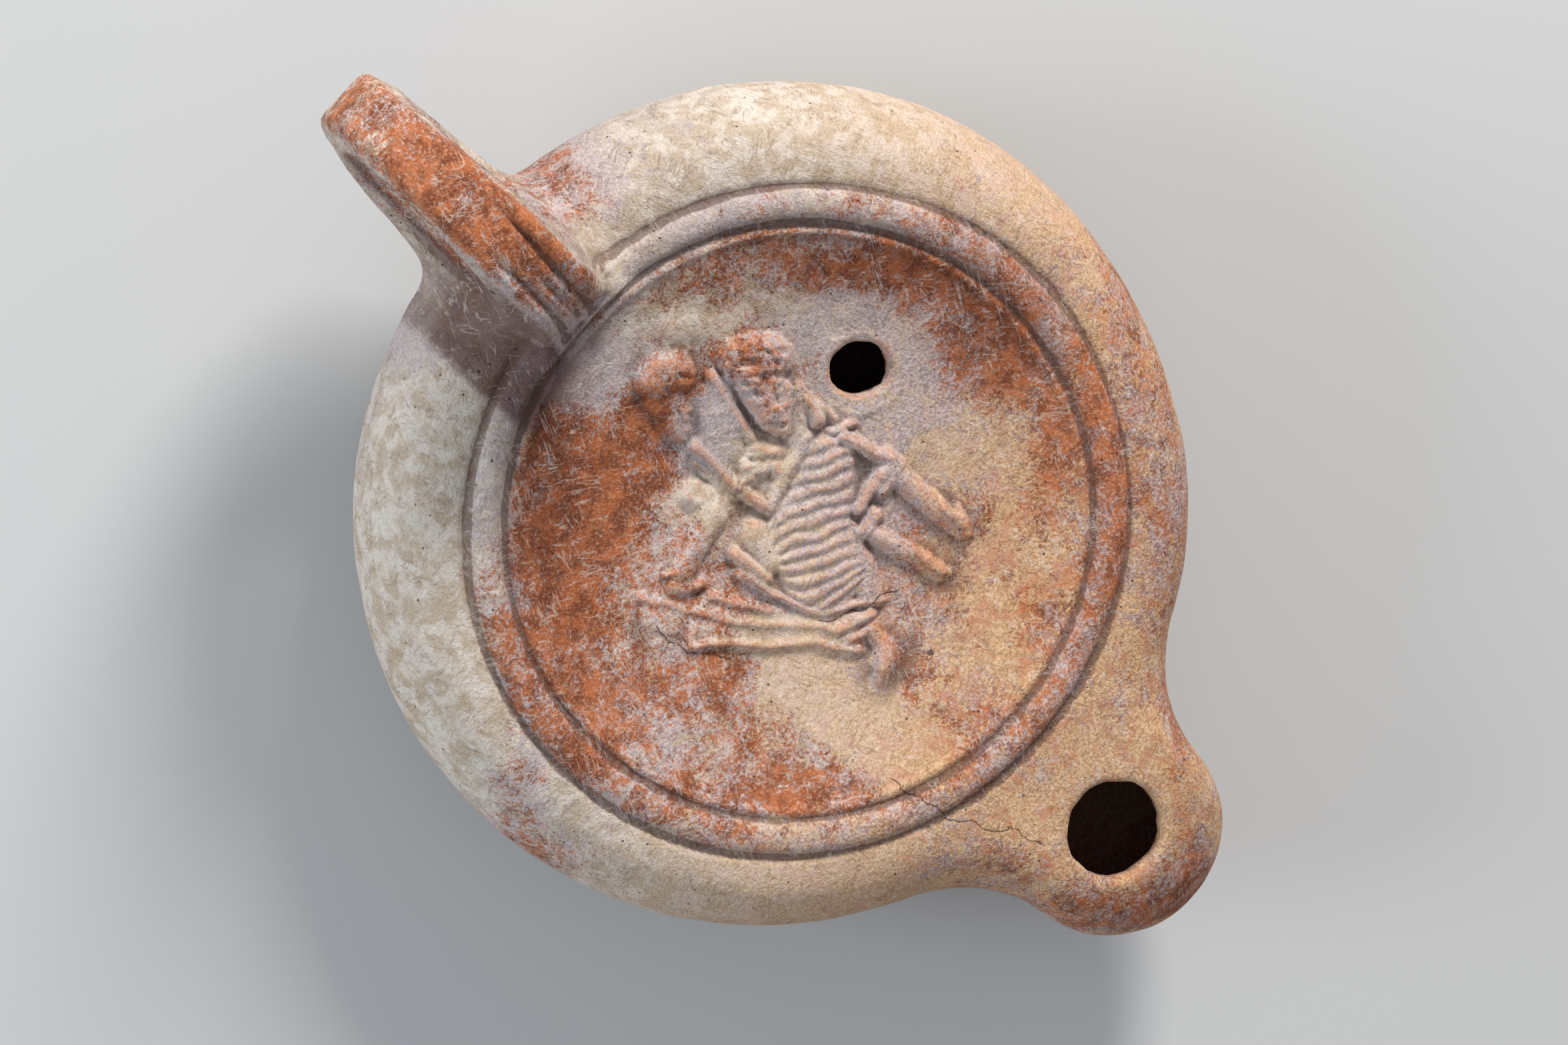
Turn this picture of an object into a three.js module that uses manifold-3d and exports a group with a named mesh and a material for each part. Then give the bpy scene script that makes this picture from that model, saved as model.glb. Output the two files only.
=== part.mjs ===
// Mould-made Roman oil lamp of fired clay: a round hollow body with a short nozzle and a pierced handle.
// Millimetres. +Z is up from the underside of the base, the nozzle points to -Y and the handle to +Y.
import * as THREE from "three";
import { mergeVertices } from "three/addons/utils/BufferGeometryUtils.js";
import Module from "manifold-3d";

// Body
const BODY_RADIUS = 42.5;
const WIDEST_HEIGHT = 13;
const BASE_RADIUS = 22;
const BASE_SLOPE = THREE.MathUtils.degToRad(32); // of the wall where it leaves the foot
const FOOT_HEIGHT = 1; // a low foot, drawn in a little towards its underside
const FOOT_DRAFT = 0.4;
const WALL = 3.2;
// Where the side was pressed in while the clay was soft.
const FLAT = { turn: THREE.MathUtils.degToRad(-18), spread: 0.4, depth: 1 };
const OUTLINE_STEPS = 80;
const CAVITY_STEPS = 52;

// Top, from the shoulder inwards
const SHOULDER_HEIGHT = 24.6; // where the shoulder meets the outer groove
const SHOULDER_ROUND = 2.6; // higher is fuller
const OUTER_GROOVE_RADIUS = 33.5;
const DISCUS_RADIUS = 29.8; // along the inner groove
const GROOVE_WIDTH = 1.1;
const GROOVE_DEPTH = 0.6;
const BAND_HEIGHT = 25.3; // crest of the flat moulding between the two grooves
const DISCUS_DEPTH = 4.6;
const DISCUS_ROUND = 2.3; // higher is flatter in the middle

// Nozzle
const NOZZLE_REACH = 49.2; // lamp's axis to the centre of the round tip
const NOZZLE_RADIUS = 11.4;
const NOZZLE_FILLET = 16.5;
const NOZZLE_ROUND = 4.5;
const WICK_HOLE = { x: -0.5, y: -46.1, radius: 5 };
const WICK_HOLE_BOTTOM = 12;

// Filling hole, off the discus's centre to leave the figures whole
const FILLING_HOLE = { x: 15.2, y: 5.5, radius: 3.05 };

// Handle: an upright pierced disc in the plane of the lamp's axis, drawn out into a root low on the body
const HANDLE_X = -0.8;
const HANDLE_DISC = { y: 47.6, z: 28.6, radius: 15.6 };
const HANDLE_ROOT = { y: 35, z: 14.5, radius: 7 };
const HANDLE_ROOT_THICKNESS = 11.5;
const HANDLE_TIP_THICKNESS = 7.2;
const HANDLE_EDGE = 1.8; // rounding of the disc's edge
const HANDLE_HOLE = { y: 49.6, z: 31, radius: 3.3, mouth: 8.2 };

// Two seated figures in low relief, laid out upright to a viewer who has the nozzle at the lower right.
// Each mass runs between two places on the discus: [u, v] to [u, v], half its width, its rise.
const SCENE_TURN = THREE.MathUtils.degToRad(46.4);
const FIGURE_MASSES = {
  leftHead: [[-14.4, 14.2], [-12.4, 14.6], 2.6, 1.9],
  leftChest: [[-8, 12.6], [-7.6, 7.8], 2.8, 1.4],
  leftArm: [[-10.4, 7.5], [-5.4, 2.6], 1.1, 1.6],
  leftHip: [[-8.8, 3.4], [-7.4, 1], 2, 1.2],
  leftShin: [[-7.6, 0.4], [-11.6, -5], 1.7, 1.6],
  leftFoot: [[-12.4, -6.9], [-8.8, -6.2], 1, 1.4],
  hairTop: [[-6.6, 16.4], [-3.6, 16], 2.9, 2],
  hairFall: [[-3.6, 15.5], [-2.2, 10.2], 2.4, 2.2],
  beard: [[-4.2, 6.8], [-4.9, 4.4], 1.8, 1.2],
  shoulderKnot: [[1.4, 11.4], [4.6, 9.7], 1.2, 1],
  shoulderFold: [[2.4, 8.4], [-2.6, 2.6], 1, 1],
  rightChest: [[3.4, 5.6], [1.8, -3], 4.4, 1.9],
  rightLap: [[1.8, -2], [3.6, -8.6], 4.2, 2],
  upperArm: [[5, 8.1], [10, 5.7], 1.1, 1.6],
  forearm: [[10, 5.6], [6.7, 0.8], 1.1, 1.5],
  upperPipe: [[11.1, 3.4], [17.2, -1.2], 1.5, 1.7],
  lowerPipe: [[7, -1.9], [14.9, -5.5], 1.4, 1.5],
  foot: [[9, -11.4], [8.7, -16.6], 1.5, 1.4],
  couch: [[-15.4, -8.4], [7, -12.2], 2.1, 1.1],
};

const wasm = await Module();
wasm.setup();

const CLAY = new THREE.MeshStandardMaterial({ color: 0xc98a62, roughness: 0.85, metalness: 0 });

function solid(geometry) {
  const bare = geometry.clone();
  bare.deleteAttribute("normal");
  bare.deleteAttribute("uv");
  const merged = mergeVertices(bare, 1e-4);
  const vertProperties = new Float32Array(merged.attributes.position.array);
  const triVerts = new Uint32Array(merged.index.array);
  return new wasm.Manifold(new wasm.Mesh({ numProp: 3, vertProperties, triVerts }));
}

function geometryOf(manifold) {
  const mesh = manifold.getMesh();
  const geometry = new THREE.BufferGeometry();
  geometry.setAttribute("position", new THREE.BufferAttribute(mesh.vertProperties, 3));
  geometry.setIndex(new THREE.BufferAttribute(mesh.triVerts, 1));
  geometry.computeVertexNormals();
  return geometry;
}

// Plan outline: the body's circle, the nozzle's round tip, and a fillet on each side between them.
// Every arc keeps its centre when the outline is inset by the wall.
function outline(inset, steps) {
  const filletReach = BODY_RADIUS + NOZZLE_FILLET;
  const cosine =
    (filletReach ** 2 + NOZZLE_REACH ** 2 - (NOZZLE_RADIUS + NOZZLE_FILLET) ** 2) /
    (2 * filletReach * NOZZLE_REACH);
  const turn = Math.acos(cosine);
  const fillet = new THREE.Vector2(Math.sin(turn), -Math.cos(turn)).multiplyScalar(filletReach);
  const tip = new THREE.Vector2(0, -NOZZLE_REACH);
  const tipToFillet = fillet.clone().sub(tip).angle();
  const down = -Math.PI / 2;
  const path = new THREE.Path();
  path.absarc(tip.x, tip.y, NOZZLE_RADIUS - inset, down, tipToFillet, false);
  path.absarc(fillet.x, fillet.y, NOZZLE_FILLET + inset, tipToFillet + Math.PI, Math.PI + down + turn, true);
  path.absarc(0, 0, BODY_RADIUS - inset, down + turn, -down, false);
  const half = path.getSpacedPoints(steps / 2);
  const mirrored = half.slice(1, -1).reverse();
  const whole = [...half, ...mirrored.map((p) => new THREE.Vector2(-p.x, p.y))];
  return whole.map((p) => {
    const off = (Math.atan2(p.y, p.x) - FLAT.turn) / FLAT.spread;
    return p.clone().setLength(p.length() - FLAT.depth * Math.exp(-off * off));
  });
}

// How far a direction belongs to the nozzle: 0 on the round body, 1 along the nozzle's middle.
function nozzleShare(reach, inset) {
  const longest = NOZZLE_REACH + NOZZLE_RADIUS - BODY_RADIUS;
  return THREE.MathUtils.smoothstep((reach + inset - BODY_RADIUS) / longest, 0, 0.8);
}

// One ring of a surface for each row; a row turns the outline's reach into a radius and a height.
function ringSurface(points, rows, bottom, top) {
  const vertices = [0, 0, top];
  for (const row of rows) {
    for (const p of points) {
      const reach = p.length();
      const [radius, height] = row(reach);
      vertices.push((p.x * radius) / reach, (p.y * radius) / reach, height);
    }
  }
  vertices.push(0, 0, bottom);
  const count = points.length;
  const last = vertices.length / 3 - 1;
  const index = [];
  for (let i = 0; i < count; i++) {
    const next = (i + 1) % count;
    index.push(0, 1 + i, 1 + next);
    for (let row = 0; row < rows.length - 1; row++) {
      const a = 1 + row * count;
      const b = a + count;
      index.push(a + i, b + i, b + next, a + i, b + next, a + next);
    }
    const end = 1 + (rows.length - 1) * count;
    index.push(last, end + next, end + i);
  }
  const geometry = new THREE.BufferGeometry();
  geometry.setAttribute("position", new THREE.Float32BufferAttribute(vertices, 3));
  geometry.setIndex(index);
  return geometry;
}

function discusHeight(radius) {
  return SHOULDER_HEIGHT - DISCUS_DEPTH * (1 - (radius / DISCUS_RADIUS) ** DISCUS_ROUND);
}

// From the outer groove to the widest line; the nozzle's top stays flatter for longer.
function shoulderRows(inset, steps) {
  const inner = OUTER_GROOVE_RADIUS + GROOVE_WIDTH / 2;
  const top = SHOULDER_HEIGHT - inset - WIDEST_HEIGHT;
  return Array.from({ length: steps }, (_, i) => (reach) => {
    const share = Math.sin(((i + 1) / steps) * (Math.PI / 2));
    const round = THREE.MathUtils.lerp(SHOULDER_ROUND, NOZZLE_ROUND, nozzleShare(reach, inset));
    const height = WIDEST_HEIGHT + top * Math.sqrt(Math.max(0, 1 - share ** round));
    return [inner + (reach - inner) * share, height];
  });
}

// From the widest line down to the bottom height, along an arc that ends at BASE_SLOPE.
function bowlRows(inset, bottom, steps) {
  const baseRadius = BASE_RADIUS - inset / 2;
  const depth = WIDEST_HEIGHT - bottom;
  return Array.from({ length: steps }, (_, i) => (reach) => {
    const angle = THREE.MathUtils.lerp(Math.PI / 2, BASE_SLOPE, (i + 1) / steps);
    const out = (Math.sin(angle) - Math.sin(BASE_SLOPE)) / (1 - Math.sin(BASE_SLOPE));
    const drop = Math.cos(angle) / Math.cos(BASE_SLOPE);
    return [baseRadius + (reach - baseRadius) * out, WIDEST_HEIGHT - depth * drop];
  });
}

function grooveRows(radius, outsideHeight, insideHeight) {
  const floor = Math.min(outsideHeight, insideHeight) - GROOVE_DEPTH;
  return [
    () => [radius - GROOVE_WIDTH / 2, insideHeight],
    () => [radius, floor],
    () => [radius + GROOVE_WIDTH / 2, outsideHeight],
  ];
}

function bodySolid() {
  const discusSteps = 5;
  const discusEdge = DISCUS_RADIUS - GROOVE_WIDTH / 2;
  const discus = Array.from({ length: discusSteps - 1 }, (_, i) => {
    const radius = (discusEdge * (i + 1)) / discusSteps;
    return () => [radius, discusHeight(radius)];
  });
  const middle = (DISCUS_RADIUS + OUTER_GROOVE_RADIUS) / 2;
  const rows = [
    ...discus,
    ...grooveRows(DISCUS_RADIUS, BAND_HEIGHT - 0.3, discusHeight(discusEdge)),
    () => [middle, BAND_HEIGHT],
    ...grooveRows(OUTER_GROOVE_RADIUS, SHOULDER_HEIGHT, BAND_HEIGHT - 0.3),
    ...shoulderRows(0, 8),
    ...bowlRows(0, FOOT_HEIGHT, 7),
    () => [BASE_RADIUS - FOOT_DRAFT, 0],
  ];
  return solid(ringSurface(outline(0, OUTLINE_STEPS), rows, 0, discusHeight(0)));
}

function cavitySolid() {
  const discusSteps = 4;
  const discus = Array.from({ length: discusSteps }, (_, i) => {
    const radius = (DISCUS_RADIUS * (i + 1)) / discusSteps;
    return () => [radius, discusHeight(radius) - WALL];
  });
  const rows = [...discus, ...shoulderRows(WALL, 6), ...bowlRows(WALL, WALL, 5)];
  return solid(ringSurface(outline(WALL, CAVITY_STEPS), rows, WALL, discusHeight(0) - WALL));
}

// Upright bore with a slightly worn mouth.
function holeSolid({ x, y, radius }, from, to) {
  const profile = [
    new THREE.Vector2(0, from),
    new THREE.Vector2(radius, from),
    new THREE.Vector2(radius, to),
    new THREE.Vector2(0, to),
  ];
  const bore = new THREE.LatheGeometry(profile, 28);
  bore.rotateX(Math.PI / 2);
  bore.translate(x, y, 0);
  return solid(bore);
}

// Side outline: the disc and its root circle, joined by their outer tangents. Thicker near the root.
function handleSolid() {
  const run = new THREE.Vector2(HANDLE_ROOT.y - HANDLE_DISC.y, HANDLE_ROOT.z - HANDLE_DISC.z);
  const lean = run.angle();
  const spread = Math.acos((HANDLE_DISC.radius - HANDLE_ROOT.radius) / run.length());
  const plate = new THREE.Shape();
  const discRadius = HANDLE_DISC.radius - HANDLE_EDGE;
  const rootRadius = HANDLE_ROOT.radius - HANDLE_EDGE;
  plate.absarc(HANDLE_DISC.y, HANDLE_DISC.z, discRadius, lean + spread, lean - spread + 2 * Math.PI, false);
  plate.absarc(HANDLE_ROOT.y, HANDLE_ROOT.z, rootRadius, lean - spread, lean + spread, false);
  const geometry = new THREE.ExtrudeGeometry(plate, {
    depth: 2,
    curveSegments: 24,
    bevelThickness: 1,
    bevelSize: HANDLE_EDGE,
    bevelSegments: 3,
  });
  geometry.translate(0, 0, -1);
  geometry.rotateX(Math.PI / 2);
  geometry.rotateZ(Math.PI / 2);
  const position = geometry.attributes.position;
  const longest = run.length() + HANDLE_DISC.radius;
  for (let i = 0; i < position.count; i++) {
    const out = Math.hypot(position.getY(i) - HANDLE_ROOT.y, position.getZ(i) - HANDLE_ROOT.z);
    const share = THREE.MathUtils.clamp((out - HANDLE_ROOT.radius) / (longest - HANDLE_ROOT.radius), 0, 1);
    const thickness = THREE.MathUtils.lerp(HANDLE_ROOT_THICKNESS, HANDLE_TIP_THICKNESS, share);
    position.setX(i, HANDLE_X + (position.getX(i) * thickness) / 4);
  }
  return solid(geometry);
}

// A narrow finger hole through the disc, opening into a wide funnel on each side.
function handleHoleSolid() {
  const { y, z, radius, mouth } = HANDLE_HOLE;
  const half = HANDLE_ROOT_THICKNESS / 2 + 1;
  const neck = 1;
  const profile = [
    new THREE.Vector2(0, -half),
    new THREE.Vector2(mouth, -half),
    new THREE.Vector2(radius, -neck),
    new THREE.Vector2(radius, neck),
    new THREE.Vector2(mouth, half),
    new THREE.Vector2(0, half),
  ];
  const funnel = new THREE.LatheGeometry(profile, 24);
  funnel.rotateZ(-Math.PI / 2);
  funnel.translate(HANDLE_X, y, z);
  return solid(funnel);
}

// One mass of a figure: a long low mound, half sunk in the discus.
function massSolid([from, to, halfWidth, rise]) {
  const ends = [from, to].map(([u, v]) => {
    const x = u * Math.cos(SCENE_TURN) + v * Math.sin(SCENE_TURN);
    const y = v * Math.cos(SCENE_TURN) - u * Math.sin(SCENE_TURN);
    return new THREE.Vector3(x, y, discusHeight(Math.hypot(x, y)));
  });
  const along = ends[1].clone().sub(ends[0]);
  const mound = new THREE.SphereGeometry(1, 8, 6);
  mound.scale(along.length() / 2 + halfWidth, halfWidth, rise);
  mound.applyQuaternion(
    new THREE.Quaternion().setFromUnitVectors(new THREE.Vector3(1, 0, 0), along.clone().normalize()),
  );
  mound.translate(...ends[0].add(ends[1]).multiplyScalar(0.5).toArray());
  return solid(mound);
}

const figures = Object.values(FIGURE_MASSES).map(massSolid);
const clay = figures
  .reduce((whole, mass) => whole.add(mass), bodySolid())
  .add(handleSolid().subtract(handleHoleSolid()))
  .subtract(cavitySolid())
  .subtract(holeSolid(FILLING_HOLE, WIDEST_HEIGHT, BAND_HEIGHT + 1))
  .subtract(holeSolid(WICK_HOLE, WICK_HOLE_BOTTOM, BAND_HEIGHT + 1));

const body = new THREE.Mesh(geometryOf(clay), CLAY);
body.name = "lamp_body";

const lamp = new THREE.Group();
lamp.add(body);

export default lamp;
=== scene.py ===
"""A mould-made Roman oil lamp of fired clay, with two figures in relief on its sunk top."""
import math

import bmesh
import bpy
import numpy as np
from mathutils import Matrix, Vector


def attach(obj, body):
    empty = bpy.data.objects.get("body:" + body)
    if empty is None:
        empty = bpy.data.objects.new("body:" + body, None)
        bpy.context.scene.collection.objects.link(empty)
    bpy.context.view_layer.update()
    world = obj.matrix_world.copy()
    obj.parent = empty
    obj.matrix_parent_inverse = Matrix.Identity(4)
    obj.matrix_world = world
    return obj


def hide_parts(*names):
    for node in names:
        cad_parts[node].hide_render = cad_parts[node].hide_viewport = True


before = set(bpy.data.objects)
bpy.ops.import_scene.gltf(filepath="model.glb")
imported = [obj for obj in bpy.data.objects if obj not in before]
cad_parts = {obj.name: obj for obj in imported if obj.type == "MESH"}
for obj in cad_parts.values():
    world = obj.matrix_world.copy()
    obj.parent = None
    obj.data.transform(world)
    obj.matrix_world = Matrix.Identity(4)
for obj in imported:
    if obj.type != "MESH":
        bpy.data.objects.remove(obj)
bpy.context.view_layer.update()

MM = 0.001  # the clay is shaped in millimetres and made in metres


# ---------------------------------------------------------------------------------------------------
# The moulded shell: body, nozzle and handle, one fired piece with walls about 3 mm thick.
# Two mould halves pressed full of clay were luted together, the handle was added and its joint
# smoothed with a wet finger, and the two holes were cut through while the clay was soft.

body_radius = 42.5
widest_height = 13.0
base_radius = 22.0
base_slope = math.radians(32)
foot_height = 1.0
wall = 3.0
flat_turn, flat_spread, flat_depth = math.radians(-18), 0.4, 1.0

shoulder_height = 24.6
shoulder_round = 2.6
outer_groove = 33.5
discus_radius = 29.8
groove_half_width = 0.4
groove_depth = 0.65
band_crown = 0.75
discus_depth = 4.6
discus_round = 2.3
shoulder_start = outer_groove + 0.55

nozzle_reach = 49.2
nozzle_radius = 11.4
nozzle_fillet = 16.5
nozzle_round = 4.5
wick_hole = (-0.5, -46.1, 4.95)
wick_hole_bottom = 12.0
filling_hole = (15.2, 5.5, 2.85)

handle_x = -0.8
handle_disc = (47.6, 28.6, 15.6)
handle_root = (35.0, 14.5, 7.0)
handle_root_thickness = 11.5
handle_tip_thickness = 8.0
handle_pinch = 1.8
handle_hole = (49.6, 31.0, 3.1, 9.2)
handle_edge_round = 1.3
handle_fillet = 3.6
handle_grooves = ((-1.9, 0.5, -0.1, 1.2), (-0.1, 0.4, 0.2, 0.9), (1.5, 0.7, 0.0, 1.35))
handle_groove_half_width = 0.42

foot_round = 0.5
foot_fillet = 0.8
mouth_round = 0.6
filling_mouth_round = 0.45
discus_lip, discus_lip_inset, discus_lip_width = 0.3, 0.95, 0.35
worn_turn, worn_spread = math.radians(-32), 0.5

first_skin = 1.5  # side of the first faces; each round of refining halves it
scene_turn = math.radians(46.4)  # from the lamp's X axis to the upright of the figures' scene


def smooth_max(a, b, soft):
    share = np.clip(0.5 + 0.5 * (a - b) / soft, 0, 1)
    return b + (a - b) * share + soft * share * (1 - share)


def smooth_min(a, b, soft):
    return -smooth_max(-a, -b, soft)


def smooth_step(value, low, high):
    share = np.clip((value - low) / (high - low), 0, 1)
    return share * share * (3 - 2 * share)


def clay_noise(points, size, seed):
    """Smooth noise from -1 to 1 whose lumps are about size millimetres across."""
    scaled = points / size + 57.3 * seed
    cell = np.floor(scaled).astype(np.int64)
    within = scaled - cell
    within = within * within * (3 - 2 * within)
    total = 0.0
    for corner in range(8):
        step = np.array([corner & 1, corner >> 1 & 1, corner >> 2 & 1])
        key = (cell + step) @ np.array([73856093, 19349663, 83492791]) + seed * 2654435761
        key = (key ^ (key >> 13)) * 1274126177 & 0xFFFFFFFF
        key = (key ^ (key >> 16)) & 0xFFFF
        weight = np.prod(np.where(step, within, 1 - within), axis=1)
        total = total + weight * (key / 32767.5 - 1)
    return total


def outline_reach(x, y):
    """From the lamp's axis to its outline in plan: round body, nozzle tip and a fillet between them."""
    fillet_reach = body_radius + nozzle_fillet
    fillet_turn = math.acos(
        (fillet_reach**2 + nozzle_reach**2 - (nozzle_radius + nozzle_fillet) ** 2)
        / (2 * fillet_reach * nozzle_reach)
    )
    fillet_x, fillet_y = fillet_reach * math.sin(fillet_turn), fillet_reach * math.cos(fillet_turn)
    touch = nozzle_radius / (nozzle_radius + nozzle_fillet)
    tip_turn = math.atan2(fillet_x * touch, nozzle_reach + (fillet_y - nozzle_reach) * touch)
    turn = np.abs(np.arctan2(x, -y))
    off = fillet_reach * np.sin(turn - fillet_turn)
    fillet = fillet_reach * np.cos(turn - fillet_turn) - np.sqrt(np.maximum(nozzle_fillet**2 - off**2, 0))
    across = nozzle_reach * np.sin(turn)
    tip = nozzle_reach * np.cos(turn) + np.sqrt(np.maximum(nozzle_radius**2 - across**2, 0))
    reach = np.where(turn < tip_turn, tip, np.where(turn < fillet_turn, fillet, body_radius))
    pressed = (np.arctan2(y, x) - flat_turn) / flat_spread
    return reach - flat_depth * np.exp(-(pressed**2))


def groove(radius, turn, middle, wander, strength):
    """Depth of a circle cut by hand: it wanders a little and is not equally deep all round."""
    wavering = middle + wander * np.sin(2 * turn + middle) + 0.4 * wander * np.sin(7 * turn + 1)
    uneven = strength * (0.8 + 0.2 * np.sin(5 * turn + middle))
    return groove_depth * uneven * np.exp(-(((radius - wavering) / groove_half_width) ** 2))


def top_height(x, y):
    """Height of the top inside the shoulder: the sunk discus, its two grooves and the band between."""
    radius, turn = np.hypot(x, y), np.arctan2(y, x)
    dish = shoulder_height - discus_depth * (1 - (radius / discus_radius) ** discus_round)
    middle = (discus_radius + outer_groove) / 2
    band = shoulder_height + band_crown * (1 - ((radius - middle) / (outer_groove - middle)) ** 2)
    height = np.where(radius < discus_radius, dish, np.maximum(band, shoulder_height))
    from_lip = radius - discus_radius + discus_lip_inset
    height = height + discus_lip * np.exp(-((from_lip / discus_lip_width) ** 2))
    worn_side = np.exp(-(((turn - worn_turn) / worn_spread) ** 2))
    height = height - groove(radius, turn, outer_groove, 0.18, 1 - 0.7 * worn_side)
    return height - groove(radius, turn, discus_radius, 0.1, 1 - 0.45 * worn_side)


def body_field(points, plain):
    """Zero on the round body's surface with the nozzle, negative inside it."""
    x, y, z = points.T
    radius = np.hypot(x, y)
    reach = outline_reach(x, y)
    nozzle_share = smooth_step((reach - body_radius) / (nozzle_reach + nozzle_radius - body_radius), 0, 0.8)
    share = np.maximum(radius - shoulder_start, 0) / (reach - shoulder_start)
    fullness = shoulder_round + (nozzle_round - shoulder_round) * nozzle_share
    if plain:
        inside = shoulder_height - discus_depth * (1 - (radius / discus_radius) ** discus_round)
        top = np.where(radius < discus_radius, inside, shoulder_height)
    else:
        top = top_height(x, y)
    rise = np.maximum(z - widest_height, 0) / (top - widest_height)
    upper = share**fullness + rise**2 - 1
    drop = (widest_height - z) / (widest_height - foot_height)
    cosine = np.clip(drop, 0, 1.15) * math.cos(base_slope)
    out = (np.sqrt(1 - cosine**2) - math.sin(base_slope)) / (1 - math.sin(base_slope))
    lower = (radius - base_radius - (reach - base_radius) * out) / reach
    return np.where(z >= widest_height, upper, lower)


def slope_of(field, points, step=0.02):
    """How fast the field rises at each point, along each axis."""
    shifts = np.eye(3) * step
    return np.stack([(field(points + s) - field(points - s)) / (2 * step) for s in shifts], axis=1)


def body_distance(points, plain):
    """Millimetres from the body's surface; plain leaves out the grooves, as on the inside."""
    def field(p):
        return body_field(p, plain)

    steepness = np.linalg.norm(slope_of(field, points), axis=1)
    return np.clip(field(points) / np.maximum(steepness, 1e-3), -25, 25)


def handle_distance(points):
    """An upright plate: a disc drawn out to a root low on the body, thicker there, pierced across."""
    x, y, z = points.T
    across = x - handle_x
    disc_y, disc_z, disc_radius = handle_disc
    root_y, root_z, root_radius = handle_root
    length = math.hypot(root_y - disc_y, root_z - disc_z)
    along_y, along_z = (root_y - disc_y) / length, (root_z - disc_z) / length
    along = (y - disc_y) * along_y + (z - disc_z) * along_z
    beside = np.abs((y - disc_y) * along_z - (z - disc_z) * along_y)
    taper = (disc_radius - root_radius) / length
    square = math.sqrt(1 - taper**2)
    region = along * square - beside * taper
    outline = np.where(
        region < 0,
        np.hypot(along, beside) - disc_radius,
        np.where(
            region > square * length,
            np.hypot(along - length, beside) - root_radius,
            beside * square + along * taper - disc_radius,
        ),
    )
    out = np.hypot(y - root_y, z - root_z)
    share = np.clip((out - root_radius) / (length + disc_radius - root_radius), 0, 1)
    thickness = handle_root_thickness + (handle_tip_thickness - handle_root_thickness) * share
    thickness = thickness - handle_pinch * smooth_step(outline, -5, -0.8)
    plate = smooth_max(outline, np.abs(across) - thickness / 2, handle_edge_round)
    hole_y, hole_z, narrow, mouth = handle_hole
    widening = np.clip((np.abs(across) - 0.8) / 3.0, 0, 1.25)
    bore = np.hypot(y - hole_y, z - hole_z) - narrow - (mouth - narrow) * widening**1.2
    plate = smooth_max(plate, -bore * 0.6, 0.8)
    # Three grooves run along the strip's upper side, the middle one short.
    climb = np.arctan2(z - disc_z, -(y - disc_y))
    for middle, depth, start, end in handle_grooves:
        grooved = smooth_step(climb, start - 0.2, start + 0.1) * (1 - smooth_step(climb, end, end + 0.4))
        off = across - middle - 0.2 * np.sin(4 * climb + middle)
        plate = plate + depth * np.exp(-((off / handle_groove_half_width) ** 2)) * grooved
    return plate


def shell_distance(points):
    """The whole lamp as one field: clay where it is negative."""
    x, y, z = points.T
    outside = body_distance(points, False)
    foot = smooth_max(np.hypot(x, y) - base_radius, np.abs(z - foot_height) - foot_height, foot_round)
    outside = smooth_min(outside, foot, foot_fillet)
    outside = smooth_min(outside, handle_distance(points), handle_fillet)
    outside = smooth_max(outside, -z, 0.3)
    shell = smooth_max(outside, -(body_distance(points, True) + wall), mouth_round)
    fill_x, fill_y, fill_radius = filling_hole
    fill_turn = np.arctan2(y - fill_y, x - fill_x)
    uneven = 0.13 * np.cos(2 * (fill_turn + scene_turn)) + 0.04 * np.sin(7 * fill_turn)
    filling = np.hypot(x - fill_x, y - fill_y) - fill_radius - uneven
    filling = smooth_max(filling, widest_height - z, 0.5)
    shell = smooth_max(shell, -filling, filling_mouth_round)
    wick_x, wick_y, wick_radius = wick_hole
    turn = np.arctan2(y - wick_y, x - wick_x)
    ragged = 0.07 * np.sin(5 * turn + 1) + 0.1 * np.abs(np.sin(4 * turn)) + 0.05 * np.sin(13 * turn + 2)
    wick = smooth_max(np.hypot(x - wick_x, y - wick_y) - wick_radius - ragged, wick_hole_bottom - z, 0.5)
    return smooth_max(shell, -wick, mouth_round)


def pulled_onto(field, points, steps=4, longest=0.8):
    """Moves the points onto the surface where the field is zero."""
    for _ in range(steps):
        slope = slope_of(field, points, 0.03)
        steep = np.maximum((slope**2).sum(axis=1), 0.05)
        move = -slope * (field(points) / steep)[:, None]
        length = np.linalg.norm(move, axis=1)
        points = points + move * np.minimum(1, longest / np.maximum(length, 1e-9))[:, None]
    return points


def evened(field, points, edges, rounds):
    """Slides the points along the surface until they are evenly spread."""
    a, b = edges.T
    for _ in range(rounds):
        total = np.zeros_like(points)
        for axis in range(3):
            total[:, axis] = np.bincount(a, points[b, axis], len(points))
            total[:, axis] += np.bincount(b, points[a, axis], len(points))
        count = np.bincount(a, minlength=len(points)) + np.bincount(b, minlength=len(points))
        points = pulled_onto(field, points + 0.5 * (total / count[:, None] - points), 1)
    return points


def averaged(values, edges, rounds):
    """Values at the points, blended with their neighbours' as wear blends a surface."""
    a, b = edges.T
    count = 1 + np.bincount(a, minlength=len(values)) + np.bincount(b, minlength=len(values))
    for _ in range(rounds):
        total = values + np.bincount(a, values[b], len(values)) + np.bincount(b, values[a], len(values))
        values = total / count
    return values


def points_of(mesh):
    flat = np.empty(len(mesh.vertices) * 3)
    mesh.vertices.foreach_get("co", flat)
    return flat.reshape(-1, 3) / MM


def set_points(mesh, points):
    mesh.vertices.foreach_set("co", (points * MM).ravel())
    mesh.update()


def edges_of(mesh):
    flat = np.empty(len(mesh.edges) * 2, dtype=np.int32)
    mesh.edges.foreach_get("vertices", flat)
    return flat.reshape(-1, 2)


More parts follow.
